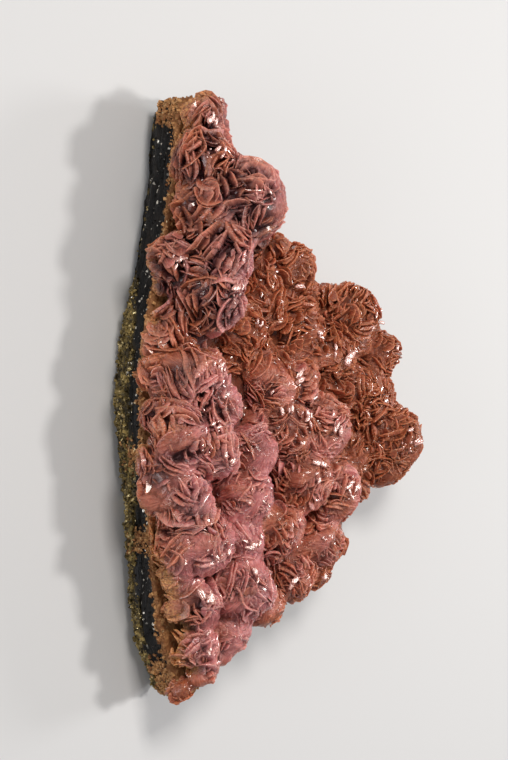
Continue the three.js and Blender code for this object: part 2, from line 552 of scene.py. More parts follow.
def select_faces(mesh_object, wanted):
    """Selects, in edit mode, the faces for which wanted(face) is true, and nothing else."""
    bpy.ops.mesh.select_all(action="DESELECT")
    shape = bmesh.from_edit_mesh(mesh_object.data)
    for face in shape.faces:
        face.select_set(wanted(face))
    shape.select_flush_mode()
    bmesh.update_edit_mesh(mesh_object.data)


def point_array(mesh):
    """The points of a mesh in mm."""
    points = np.empty(len(mesh.vertices) * 3, np.float32)
    mesh.vertices.foreach_get("co", points)
    return points.reshape(-1, 3).astype(float) / MM


def store_points(mesh, points):
    """Moves the points of a mesh to new places in mm."""
    mesh.vertices.foreach_set("co", (points * MM).astype(np.float32).ravel())
    mesh.update()


def store_values(mesh, values):
    """Keeps one number at every point of a mesh for each name."""
    for key, value in values.items():
        layer = mesh.attributes.new(key, "FLOAT", "POINT")
        layer.data.foreach_set("value", value.astype(np.float32))


packed_points = point_array(frame["nodes"]["rhodochrosite"].data)
print("packed rhodochrosite, mm:", np.ptp(packed_points, axis=0).round(1).tolist())

# %% [markdown]
# ## One blade
# Each rosette is built from thin curved plates. A blade starts as a flat disc of radius 1: a short
# cylinder whose two faces are inset and drawn out, so that it is a lens with a thin rim. It is
# modelled once, and thousands of copies are stretched, bent and turned into place by array
# arithmetic, because thousands of separate operators would take hours.

# %% Blade template
BLADE_CORNERS = 11
RIM_HEIGHT = 0.14  # half the thickness at the rim
LENS_INSET = 0.36  # how far in the lens's face begins
LENS_THICKER = 4.6  # how much thicker it is there than at the rim
STRAIGHTER = 0.7  # a power that flattens the round rim


def is_cap(face):
    return len(face.verts) > 4


def blade_template(corners):
    """A lens of radius 1 with a thin rim, as an array of points and one of triangles."""
    bpy.ops.object.select_all(action="DESELECT")
    bpy.ops.mesh.primitive_cylinder_add(
        vertices=corners, radius=1, depth=2 * RIM_HEIGHT, end_fill_type="NGON", location=(0, 0, 0)
    )
    blade = bpy.context.object
    bpy.ops.object.mode_set(mode="EDIT")
    bpy.ops.mesh.select_mode(type="FACE")
    select_faces(blade, is_cap)
    bpy.ops.mesh.inset(thickness=LENS_INSET)
    bpy.ops.transform.resize(value=(1, 1, LENS_THICKER))
    bpy.ops.mesh.select_all(action="SELECT")
    bpy.ops.mesh.quads_convert_to_tris(quad_method="BEAUTY", ngon_method="BEAUTY")
    bpy.ops.object.mode_set(mode="OBJECT")
    points = np.array([vertex.co for vertex in blade.data.vertices])
    faces = np.array([face.vertices for face in blade.data.polygons])
    bpy.data.objects.remove(blade)
    print("blade:", len(points), "points,", len(faces), "triangles")
    return points, faces


blade_points, blade_faces = blade_template(BLADE_CORNERS)
# the corners are drawn together on the half that shows, because the other half is buried
corner_turn = np.arctan2(blade_points[:, 0], blade_points[:, 1])
corner_turn *= 0.62 + 0.38 * (np.abs(corner_turn) / math.pi) ** 2
corner_reach = np.hypot(blade_points[:, 0], blade_points[:, 1])
blade_points[:, 0] = corner_reach * np.sin(corner_turn)
blade_points[:, 1] = corner_reach * np.cos(corner_turn)
showing = blade_points[:, 1] > 0
blade_points[showing, 1] **= STRAIGHTER

# %% [markdown]
# ## Joining many copies into one mesh
# The copies' points are stacked in one array, and each copy's faces are the template's with a
# higher start. Five numbers are kept at every point for the finish: `rim` is 1 on a blade's edge,
# where the finish paints a pale highlight, `depth` is 0 at the skin and 1 deep in a gap, and sets
# the painted shade there, `orange` says which colour it has, `stain` is 1 where it is stained, and
# `gloss` is one number per blade that picks the few shining ones. The UV map `grain` runs along the
# blade.

# %% Joined mesh
def joined_mesh(name, copies, faces):
    """One mesh from copies: each is its points in mm and its point values."""
    points = np.concatenate([copy["points"] for copy in copies])
    starts = np.arange(len(copies)) * len(copies[0]["points"])
    all_faces = (faces[None] + starts[:, None, None]).reshape(-1, 3)
    mesh = bpy.data.meshes.new(name)
    mesh.from_pydata((points * MM).tolist(), [], all_faces.tolist())
    values = {key: np.concatenate([copy[key] for copy in copies]) for key in ("rim", "orange", "gloss")}
    outside, share = skin_distance(points)
    # depth: the painted shade of a gap, from how far under the skin a point lies
    values["depth"] = painted_gap_shade(outside, share)
    values["orange"] += orange_at(points, share)
    values["stain"] = stain_at(points)
    store_values(mesh, values)
    grain = mesh.uv_layers.new(name="grain")
    grain_points = np.concatenate([copy["grain"] for copy in copies])
    corner_points = np.empty(len(mesh.loops), np.int32)
    mesh.loops.foreach_get("vertex_index", corner_points)
    grain.uv.foreach_set("vector", grain_points[corner_points].astype(np.float32).ravel())
    piece = bpy.data.objects.new(name, mesh)
    bpy.context.scene.collection.objects.link(piece)
    select_only(piece)
    bpy.ops.object.shade_smooth_by_angle(angle=math.radians(22))
    print(name, len(copies), "copies,", len(all_faces), "triangles")
    return piece


# %% [markdown]
# ## Where blades stand
# The blades are spread evenly over a ball by the golden angle, as seeds are in a sunflower's head.
# A blade is left out where its rim would be buried in a neighbour or in the slab. Slow waves bend
# every blade a little after it is placed, so that none is quite flat.

# %% Places for blades
def book_directions(count, rng):
    """Unit vectors spread evenly over a ball, turned at random."""
    golden = math.pi * (3 - math.sqrt(5))
    height = 1 - 2 * (np.arange(count) + 0.5) / count
    ring = np.sqrt(1 - height**2)
    turn = golden * np.arange(count) + rng.uniform(0, 2 * math.pi)
    spread = np.stack([ring * np.cos(turn), ring * np.sin(turn), height], axis=1)
    spin = np.linalg.qr(rng.normal(size=(3, 3)))[0]
    return spread @ spin.T


def is_bare(point, depth):
    """True where a blade's rim would show: not deep under the skin, in the slab or under the floor."""
    if skin_distance(point[None])[0][0] < -depth:
        return False
    inside = left_side(point[1]) < point[0] < right_side(point[1])
    return point[2] > 0.8 and not (inside and point[2] < seat_height(point[0], point[1]) + 0.4)


# for each axis: a slow bend of 0.45 mm and a fine one of 0.10 mm
bend_waves = [(0.45, waves(31 + axis, (7.0,), 3), 0.10, waves(34 + axis, (1.8,), 3)) for axis in range(3)]


def warped(points):
    """The points moved by slow waves, so that no blade is quite flat and no rosette quite round."""
    moves = []
    for slow, slow_waves, fast, fast_waves in bend_waves:
        moves.append(slow * slow_waves(points) + fast * fast_waves(points))
    return points + np.stack(moves, axis=1)


sample_directions = book_directions(60, np.random.default_rng(1))
print("mean of 60 directions:", sample_directions.mean(axis=0).round(2).tolist())

# %% [markdown]
# ## Bending one blade
# The template is stretched to half a width and half a height, gets a ragged outline and a cupped
# bend, and is set with its root in the rosette and the middle of its rim at the tip.

# %% Bend a blade
def blade(tip, up, across, size, thickness, cup, tint, gloss, rng):
    """The template stretched and bent to a blade with the middle of its rim at tip.

    up points from its root to its rim, and across along the rim. size is half the width and half
    the height. It is hollow on the side across x up."""
    inward = np.cross(across, up)
    half_width, half_height = size
    x, y, z = blade_points.T
    corner = np.arctan2(y, x)
    ragged = 1 + sum(0.05 * np.sin(lobes * corner + rng.uniform(0, 6.3)) for lobes in (2, 3, 5, 7))
    x, y = x * ragged, y * ragged
    bend = cup * half_width * x**2 + 0.4 * cup * half_height * (1 - y) ** 2
    ripple = 0.06 * half_height * np.sin(3.1 * x + 1.5 * y + rng.uniform(0, 6.3))
    through = z * thickness / 2 + bend + ripple
    placed = tip + np.outer(x * half_width, across) + np.outer((y - 1) * half_height, up)
    placed = placed + np.outer(through, inward)
    return {
        "points": warped(placed),
        "rim": np.clip((corner_reach - 0.86) / 0.14, 0, 1),
        "orange": np.full(len(placed), tint),
        "gloss": np.full(len(placed), gloss),
        "grain": np.stack([x * half_width + 40 * rng.uniform(), y * half_height], axis=1),
    }


sideways, forwards = np.array([1.0, 0.0, 0.0]), np.array([0.0, 1.0, 0.0])
sample = blade(np.zeros(3), forwards, sideways, (2.0, 1.3), 1.0, 0.2, 0.0, 0.5, np.random.default_rng(1))
print("one blade, mm:", np.ptp(sample["points"], axis=0).round(1).tolist())

# %% [markdown]
# ## How a rosette grows
# The blades of a rosette don't point every way at random. They stand in books: a few nearly
# parallel blades, one behind the other like pages. Books lean over at all angles and overlap, which
# gives the criss-cross pattern. In a calm rosette the books go round its axis and make nested arcs,
# in a mixed one they go every way. A blade that would stick out of the skin or lie flat on it is
# dropped.

# %% Grow one rosette
def rosette_axis(centre, rng):
    """Which way a rosette opens: up, and outwards along the broken edge."""
    lean = -0.6 if centre[0] < -17 else 0.0
    return unit(np.array([lean, 0, 1.0]) + rng.normal(0, 0.3, 3))


def grow(centre, radius, axis, style, rng, grown):
    """Books of blades all over one rosette."""
    for direction in book_directions(round(style["books"] * radius**2), rng):
        round_axis = np.cross(axis, direction)
        calm = round_axis / (np.linalg.norm(round_axis) + 0.05)
        tangent = unit(calm + style["mixed"] * rng.normal(size=3))
        tangent = unit(tangent - direction * np.dot(tangent, direction))
        count = int(rng.integers(*style["pages"]))
        step = rng.uniform(*style["step"]) * style["size"] / radius
        lean = math.radians(rng.uniform(*style["lean"]))
        if rng.uniform() < 0.6:
            lean = -lean
        cup = rng.uniform(*style["cup"])
        width = min(rng.uniform(*style["width"]) * style["size"], 0.75 * radius)
        tint = rng.normal(0, 0.12)
        sunk = rng.uniform(*style["sunk"])
        for index in range(count):
            angle = (index - (count - 1) / 2) * step * rng.uniform(0.7, 1.3)
            out = turned(direction, tangent, angle)
            out = unit(out + rng.normal(0, 0.35 * step, 3))
            tip = centre + out * radius
            normal = skin_normal(tip)
            tip = tip - normal * (skin_distance(tip[None])[0][0] + sunk + rng.uniform(0, 0.5))
            if not is_bare(tip, 3.5) or np.dot(normal, out) < 0.55 or abs(tip[1]) > 46.3:
                continue
            across = turned(tangent, out, rng.normal(0, style["skew"]))
            across = unit(across - normal * np.dot(across, normal))
            up = turned(normal, across, lean * rng.uniform(0.6, 1.1))
            size = (width * rng.uniform(0.55, 1.15), rng.uniform(0.5, 0.8) * width)
            thickness = rng.uniform(*style["thick"]) * style["size"]
            made = blade(tip, up, across, size, thickness, cup, tint, rng.uniform(), rng)
            outside = skin_distance(made["points"])[0]
            may_stick_out = 0.3 if abs(tip[1]) > 44 else 0.75
            if outside.max() < may_stick_out and outside.mean() < -0.45 * size[1]:
                grown.append(made)


print("axis of the first rosette:", rosette_axis(all_centres[0], np.random.default_rng(1)).round(2).tolist())

# %% [markdown]
# ## All the rosettes
# Each rosette gets three sorts of blades: large ones that give it its shape, middle ones between
# them, and small ones down in the pits. `books` times the square of its radius is how many books a
# rosette has, and `pages` is how many blades there are in one. Step, width, thickness and how deep a
# blade is sunk are in millimetres, and the lean is in degrees. Each group becomes one piece.

# %% Grow the rosettes
LARGE_BLADES = {
    "books": 0.60, "pages": (3, 6), "step": (0.8, 1.4), "lean": (5, 30), "cup": (0.0, 0.5),
    "width": (1.8, 3.2), "sunk": (0.0, 0.3), "thick": (0.8, 1.3), "skew": 0.14,
}
MIDDLE_BLADES = {
    "books": 1.4, "pages": (2, 6), "step": (0.6, 1.0), "lean": (5, 45), "cup": (0.0, 0.5),
    "width": (1.1, 2.0), "sunk": (0.0, 0.7), "thick": (0.5, 0.9), "skew": 0.18,
}
PIT_BLADES = {
    "books": 2.0, "pages": (1, 4), "step": (0.5, 0.9), "lean": (0, 55), "cup": (0.0, 0.5),
    "width": (0.6, 1.2), "sunk": (0.1, 1.2), "thick": (0.35, 0.6), "skew": 0.30,
}


def blades_piece(name, group, seed):
    """All blades of one group of rosettes as one mesh."""
    rng = np.random.default_rng(seed)
    grown = []
    for x, y, z, radius in group["balls"]:
        centre = np.array([x, y, z]) - PLAN_CENTRE
        axis = rosette_axis(centre, rng)
        mixed = rng.uniform(0.2, 1.2)
        for blades in (LARGE_BLADES, MIDDLE_BLADES, PIT_BLADES):
            more = {"mixed": mixed, "size": group["size"]}
            more["books"] = blades["books"] / group["size"] ** 1.5
            grow(centre, radius, axis, blades | more, rng, grown)
    return joined_mesh(name, grown, blade_faces)


def small_piece(name, places, seed):
    """The blades of the small rosettes as one mesh."""
    rng = np.random.default_rng(seed)
    grown = []
    for x, y, z, radius in places:
        centre = np.array([x, y, z])
        style = MIDDLE_BLADES | {"mixed": 0.8, "books": 1.6, "size": 0.9}
        grow(centre, radius, rosette_axis(centre, rng), style, rng, grown)
    return joined_mesh(name, grown, blade_faces)


blade_pieces = []
for index, (name, group) in enumerate(ROSETTES.items()):
    blade_pieces.append(blades_piece("blades_" + name, group, 100 + index))
blade_pieces.append(small_piece("blades_small", small, 300))

# %% [markdown]
# ## Cleavage faces
# A few blades have split along their cleavage and show a flat face as bright as a mirror. Crystals
# that grew together share their directions, so these faces nearly all look the same way: half way
# between the camera and the side light. They lie in small clusters on top of the rosettes.

# %% Cleavage faces
def flat_plate(place, facing, along, long_reach, rng):
    """A flat plate with a ragged outline that looks nearly towards facing."""
    face_way = unit(facing + rng.normal(0, 0.02, 3))
    up = unit(np.cross(face_way, np.cross(along + rng.normal(0, 0.25, 3), face_way)))
    across = np.cross(up, face_way)
    x, y, z = blade_points.T
    corner = np.arctan2(y, x)
    ragged = 1 + sum(0.10 * np.sin(lobes * corner + rng.uniform(0, 6.3)) for lobes in (2, 3, 5))
    reach = long_reach * rng.uniform(0.6, 1.2)
    spread = np.outer(y * ragged * reach, up)
    spread = spread + np.outer(x * ragged * reach * rng.uniform(0.3, 0.6), across)
    return {
        "points": place + spread + np.outer(z * 0.25, face_way),
        "rim": np.zeros(len(x)),
        "orange": np.zeros(len(x)),
        "gloss": np.zeros(len(x)),
        "grain": np.stack([x, y], axis=1),
    }


def cleavage_faces(clusters, seed):
    """Small flat plates at the skin as one mesh."""
    rng = np.random.default_rng(seed)
    light_place = np.array(side_light.location) / MM
    camera_place = np.array(camera.location) / MM
    plates = []
    for ball in rng.choice(len(all_centres), clusters):
        centre = all_centres[ball]
        facing = unit(unit(light_place - centre) + unit(camera_place - centre))
        middle = centre + all_radii[ball] * unit(facing + rng.normal(0, 0.35, 3))
        along = unit(np.cross(facing, np.cross(rng.normal(size=3) + [0.5, 1.5, 0], facing)))
        long_reach = 0.18 + 0.80 * rng.uniform() ** 2
        for _ in range(rng.integers(1, 5)):
            place = middle + rng.normal(0, 0.6, 3)
            out = skin_normal(place)
            place = place - out * (skin_distance(place[None])[0][0] + 0.05)
            if not is_bare(place, 1.0) or out @ facing < 0.84:
                continue
            plates.append(flat_plate(place, facing, along, long_reach, rng))
    return joined_mesh("cleavage_faces", plates, blade_faces)


mirrors = cleavage_faces(120, 400)

# %% [markdown]
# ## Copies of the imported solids
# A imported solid's mesh is loose triangles, so a copy of it has its doubles merged first. A voxel
# remesh then gives it small even faces, which can be moved in and out. The solids themselves are
# left as they are.

# %% Copies and remeshing
def layer_copy(node, name):
    """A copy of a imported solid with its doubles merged."""
    copy = frame["nodes"][node].copy()
    copy.data = copy.data.copy()
    copy.name = name
    copy.parent = None
    for key in [key for key in copy.keys() if key.startswith("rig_")]:
        del copy[key]
    bpy.context.scene.collection.objects.link(copy)
    select_only(copy)
    bpy.ops.object.mode_set(mode="EDIT")
    bpy.ops.mesh.select_all(action="SELECT")
    bpy.ops.mesh.remove_doubles(threshold=0.002 * MM)
    bpy.ops.object.mode_set(mode="OBJECT")
    copy.data.materials.clear()
    return copy


def remeshed(piece, voxel):
    """Gives a piece small, even faces."""
    select_only(piece)
    remesh = piece.modifiers.new("even_faces", "REMESH")
    remesh.mode = "VOXEL"
    remesh.voxel_size = voxel
    bpy.ops.object.modifier_apply(modifier=remesh.name)
    bpy.ops.object.shade_smooth()


def shrunk(piece, distance, wanted):
    """Moves the wanted faces of a piece inwards."""
    bpy.ops.object.mode_set(mode="EDIT")
    bpy.ops.mesh.select_mode(type="FACE")
    select_faces(piece, wanted)
    bpy.ops.transform.shrink_fatten(value=-distance)
    bpy.ops.mesh.select_all(action="DESELECT")
    bpy.ops.object.mode_set(mode="OBJECT")


def above_the_seat(face):
    return face.normal.z > -0.6


body = layer_copy("rhodochrosite", "rhodochrosite_body")
remeshed(body, 0.8 * MM)
shrunk(body, 1.5 * MM, above_the_seat)
print("sheet:", len(body.data.polygons), "faces")

# %% [markdown]
# ## The body under the blades
# Between the blades one sees the solid rhodochrosite that they grew from. The sheet is drawn in a
# little, and then a round ball is joined to it for every rosette. One ball is modelled, and the
# others are copies of it. A second remesh makes all of them run together.

# %% Body of the rhodochrosite
bpy.ops.object.select_all(action="DESELECT")
bpy.ops.mesh.primitive_ico_sphere_add(subdivisions=3, radius=1, location=(0, 0, 0))
first_ball = bpy.context.object
balls = []
for centre, radius in zip(skin_centres, skin_radii):
    ball = first_ball.copy()
    ball.data = first_ball.data.copy()
    ball.location = centre * MM
    ball.scale = (radius * MM, radius * MM, radius * MM)
    bpy.context.scene.collection.objects.link(ball)
    balls.append(ball)
bpy.data.objects.remove(first_ball)
bpy.context.view_layer.update()
select_only(body)
for ball in balls:
    ball.select_set(True)
bpy.ops.object.join()
remeshed(body, 0.51 * MM)
print("body:", len(body.data.polygons), "faces")

# %% [markdown]
# ## Ribs on the body
# The body shows the roots of blades as fine ribs that run down from each rosette's pole. A point's
# place among them is measured as its way round the rosette's axis and its way from the pole. The
# same places make the body's UV map, so that its streaks run along the ribs.

# %% Ribs
axis_rng = np.random.default_rng(45)
skin_axes = np.array([rosette_axis(centre, axis_rng) for centre in skin_centres])


def rib_place(points, share):
    """For each point its place on its ball: mm round the ball's axis, and mm from its pole."""
    ball = share.argmax(axis=1)
    out = points - skin_centres[ball]
    out /= np.linalg.norm(out, axis=1, keepdims=True) + 1e-9
    axes = skin_axes[ball]
    sideways = np.cross(axes, [0.0, 1.0, 0.0])
    sideways /= np.linalg.norm(sideways, axis=1, keepdims=True)
    forward = np.cross(axes, sideways)
    turn = np.arctan2((out * forward).sum(axis=1), (out * sideways).sum(axis=1))
    pole = np.arccos(np.clip((out * axes).sum(axis=1), -1, 1))
    radius = skin_radii[ball]
    return np.stack([turn * radius + 17.0 * ball, pole * radius], axis=1)


print("rosettes that open outwards:", int((skin_axes[:, 0] < -0.3).sum()), "of", len(skin_axes))

# %% [markdown]
# ## Moving the body under the skin
# Each point of the body is moved in to its depth under the skin, in three steps, because the way in
# changes as it moves. Soft lumps and the ribs keep the closed parts from looking smooth.

# %% Surface of the body
body_points = point_array(body.data)
lumps = waves(41, (3.0, 1.9), 6)
for _ in range(3):
    outside, share = skin_distance(body_points)
    normals = skin_normals(body_points, share)
    ribs = np.sin(rib_place(body_points, share)[:, 0] * 5.0 + 2.0 * lumps(body_points * 0.7 + 9))
    wanted_depth = openness(body_points, normals, share) - 0.16 * lumps(body_points) - 0.14 * ribs
    near = smooth_step(-outside, -0.8, 0.0) * smooth_step(body_points[:, 2], 2.5, 4.5)
    body_points -= normals * ((outside + wanted_depth) * near)[:, None] * 0.8
store_points(body.data, body_points)
outside, share = skin_distance(body_points)
gloss_waves = waves(43, (4.0, 2.2), 6)
# rim puts a little of the painted rim highlight on the rib crests; depth is the painted shade of the gaps.
store_values(body.data, {
    "rim": np.clip(0.15 + 0.25 * ribs, 0, 1),
    "depth": painted_gap_shade(outside, share),
    "orange": orange_at(body_points, share),
    "stain": stain_at(body_points),
    "gloss": np.clip(0.5 + 0.5 * gloss_waves(body_points), 0, 1),
})
body_grain = body.data.uv_layers.new(name="grain")
body_corners = np.empty(len(body.data.loops), np.int32)
body.data.loops.foreach_get("vertex_index", body_corners)
body_grain.uv.foreach_set("vector", rib_place(body_points, share)[body_corners].astype(np.float32).ravel())
print("deepest point under the skin, mm:", round(float(-outside.min()), 1))

# %% [markdown]
# ## Roughening the flat layers
# The slab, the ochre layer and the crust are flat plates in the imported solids. Each is remeshed,
# its points are moved by a relief, and the faces that came out flat are made fewer by a Decimate
# modifier, so that the detail stays where it is needed.

# %% Roughen a layer
def roughened(node, name, voxel, kept, relief):
    """A remeshed copy of a solid whose points are moved by relief(points, normals), in mm.

    The flat parts are then given fewer faces, so that kept is the share of the faces left."""
    layer = layer_copy(node, name)
    remeshed(layer, voxel * MM)
    points = point_array(layer.data)
    normals = np.empty(len(points) * 3, np.float32)
    layer.data.vertex_normals.foreach_get("vector", normals)
    normals = normals.reshape(-1, 3).astype(float)
    points += relief(points, normals)
    points[:, 2] = np.maximum(points[:, 2], 0.0)
    store_points(layer.data, points)
    fewer = layer.modifiers.new("fewer_faces", "DECIMATE")
    fewer.ratio = kept
    bpy.ops.object.modifier_apply(modifier=fewer.name)
    print(name, len(layer.data.polygons), "triangles")
    return layer


LAYERS = ("black_slab", "back_crust", "ochre_layer")
print("triangles in the packed layers:", [len(frame["nodes"][layer].data.polygons) for layer in LAYERS])

# %% [markdown]
# ## The relief of each layer
# The slab's broken edge has ledges along its length, the crust swells along its middle and curls
# over the slab, and the ochre layer is crumbly. The flat sides grow a little into each other, to
# close the thin gaps that the solids leave between them.

# %% Layers
broad = waves(51, (14.0, 8.0))
coarse = waves(52, (4.0, 2.6), 6)
fine = waves(53, (1.7, 1.1), 8)
STRETCH = np.array([1.0, 0.22, 1.6])  # the slab's ledges run along y
INTO_NEIGHBOUR = 0.18  # how far a layer's flat side grows into the gap that the solids leave


def slab_relief(points, normals):
    ledges = 0.35 * coarse(points * STRETCH) + 0.22 * fine(points * STRETCH)
    flat = np.abs(normals[:, 2])
    return normals * ((ledges - 0.25) * (1 - flat) + INTO_NEIGHBOUR * flat)[:, None]


def crust_swell(points):
    """How much the crust swells: 1 along the middle of its length, 0 at its upper end."""
    return smooth_step(-points[:, 1], -19, -8) * (0.75 + 0.25 * broad(points))


def crust_relief(points, normals):
    lumps = 0.30 * coarse(points) + 0.20 * fine(points) + 0.5 * crust_swell(points) - 0.6
    moved = normals * lumps[:, None] * np.array([1.0, 1.0, 0.15])
    left_edge = smooth_step(left_side(points[:, 1]) + 3.5 - points[:, 0], 0, 3.5)
    lip = left_edge * smooth_step(points[:, 2], 1.0, 2.4) * crust_swell(points)
    moved[:, 2] += 1.6 * lip + (INTO_NEIGHBOUR + 0.15) * np.clip(normals[:, 2], 0, 1)
    moved[:, 0] -= 0.5 * lip
    return moved


def ochre_relief(points, normals):
    crumbs = 0.25 * coarse(points) + 0.20 * fine(points) + 0.15
    flat = np.abs(normals[:, 2])
    return normals * (crumbs * (1 - flat) + INTO_NEIGHBOUR * flat)[:, None]


slab = roughened("black_slab", "black_slab_rough", 0.4, 0.30, slab_relief)
crust = roughened("back_crust", "back_crust_rough", 0.4, 0.35, crust_relief)
ochre = roughened("ochre_layer", "ochre_layer_rough", 0.35, 0.20, ochre_relief)

# %% [markdown]
# ## Grains
# The crust and the ochre layer are made of countless small crystals, and a few sit on the slab. One
# is modelled as a squashed cube. Its copies are strewn over the faces of a layer, each with its own
# size, proportions and turn, and joined into one mesh. `tone` is one number per grain, which its
# finish uses for how light it is.

# %% Grains
def grain_template(squash):
    """The points and triangles of a small crystal."""
    bpy.ops.object.select_all(action="DESELECT")
    bpy.ops.mesh.primitive_cube_add(size=1.7)
    crystal = bpy.context.object
    bpy.ops.object.mode_set(mode="EDIT")
    bpy.ops.mesh.select_all(action="SELECT")
    bpy.ops.transform.resize(value=squash)
    bpy.ops.mesh.quads_convert_to_tris(quad_method="BEAUTY", ngon_method="BEAUTY")
    bpy.ops.object.mode_set(mode="OBJECT")
    points = np.array([vertex.co for vertex in crystal.data.vertices])
    faces = np.array([face.vertices for face in crystal.data.polygons])
    bpy.data.objects.remove(crystal)
    return points, faces


def strewn(name, base, template, count, size, chance, seed):
    """Grains all over the faces of a piece, more of them where chance(points, normals) is high."""
    rng = np.random.default_rng(seed)
    polygons = base.data.polygons
    centres = np.empty(len(polygons) * 3, np.float32)
    normals = np.empty(len(polygons) * 3, np.float32)
    areas = np.empty(len(polygons), np.float32)
    polygons.foreach_get("center", centres)
    polygons.foreach_get("normal", normals)
    polygons.foreach_get("area", areas)
    centres = centres.reshape(-1, 3).astype(float) / MM
    normals = normals.reshape(-1, 3).astype(float)
    weight = areas * np.clip(chance(centres, normals), 0, 1)
    chosen = rng.choice(len(polygons), count, p=weight / weight.sum())
    reach = rng.uniform(0, 1, count) ** 2 * (size[1] - size[0]) + size[0]
    shift = rng.uniform(-0.25, 0.25, (count, 3))
    places = centres[chosen] + shift - normals[chosen] * 0.2 * reach[:, None]
    kept = places[:, 2] > reach * 1.1
    places, reach = places[kept], reach[kept]
    turns = np.linalg.qr(rng.normal(size=(len(places), 3, 3)))[0]
    turns *= np.linalg.det(turns)[:, None, None]
    points, faces = template
    shapes = points * rng.uniform(0.7, 1.3, (len(places), 1, 3)) * reach[:, None, None]
    placed = np.einsum("gij,gpj->gpi", turns, shapes) + places[:, None]
    all_faces = faces[None] + (np.arange(len(places)) * len(points))[:, None, None]
    mesh = bpy.data.meshes.new(name)
    mesh.from_pydata((placed.reshape(-1, 3) * MM).tolist(), [], all_faces.reshape(-1, 3).tolist())
    store_values(mesh, {"tone": np.repeat(rng.uniform(0, 1, len(places)), len(points))})
    piece = bpy.data.objects.new(name, mesh)
    bpy.context.scene.collection.objects.link(piece)
    print(name, len(places), "grains,", len(all_faces) * len(faces), "triangles")
    return piece


grain = grain_template((1.0, 0.85, 0.65))
print("grain:", len(grain[1]), "triangles")

# %% [markdown]
# ## Where the grains lie
# Most grains are where they can be seen, on the broken edge. The crust creeps up over the slab along
# the middle of its length. The ochre creeps down over it at both ends and in two patches. What the
# rock turns into there is kept as `other` at each point of the slab and the crust.

# %% Strew the grains
def on_edge(points, normals):
    """Towards the broken edge, where the view looks, and a few elsewhere."""
    return 0.08 + 0.92 * smooth_step(-normals[:, 0], 0.0, 0.6)


def on_any_edge(points, normals):
    return on_edge(points, normals) + 0.4 * (1 - np.abs(normals[:, 2]))


def ochre_patches(points, normals):
    """Where the ochre has crept over the slab's edge: at both ends and in two patches."""
    y = points[:, 1]
    ends = np.maximum(smooth_step(y, 41.5, 43.5), smooth_step(-y, 39, 43))
    patches = sum(np.exp(-((y - middle) / 1.6) ** 2) for middle in (-9.0, -22.0))
    upper = smooth_step(points[:, 2], 7.0, 7.9) * (0.45 + 0.25 * broad(points))
    outer = smooth_step(2.6 - points[:, 2], 0, 1) * smooth_step(y, 35, 38)
    return np.clip(ends + patches * 0.7 + upper + outer, 0, 1) * on_edge(points, normals)


def crust_grows(points, normals):
    """Over the crust, but hardly at its upper end."""
    return on_edge(points, normals) * (0.08 + 0.92 * smooth_step(-points[:, 1], -21, -13))


def druse_on_slab(points):
    """How far the druse has crept up the slab's edge, higher along the middle: 0 to 1."""
    top = 3.1 + 2.0 * smooth_step(22 - np.abs(points[:, 1] + 1), 0, 12) + 0.6 * broad(points * 2)
    return smooth_step(top - points[:, 2], -0.3, 0.5) * smooth_step(-points[:, 1], -20, -14)


def crust_creeps(points, normals):
    return on_edge(points, normals) * druse_on_slab(points)


crust_grains = strewn("crust_grains", crust, grain, 5500, (0.12, 0.42), crust_grows, 61)
crust_outliers = strewn("crust_outliers", slab, grain, 2200, (0.14, 0.42), crust_creeps, 66)
slab_glitter = strewn("slab_glitter", slab, grain, 2800, (0.05, 0.15), on_edge, 63)
ochre_grains = strewn("ochre_grains", ochre, grain, 3200, (0.12, 0.36), on_any_edge, 64)
ochre_crumbs = strewn("ochre_crumbs", slab, grain, 3600, (0.12, 0.36), ochre_patches, 65)
store_values(crust.data, {"other": smooth_step(point_array(crust.data)[:, 1], 13, 21)})
store_values(slab.data, {"other": druse_on_slab(point_array(slab.data))})
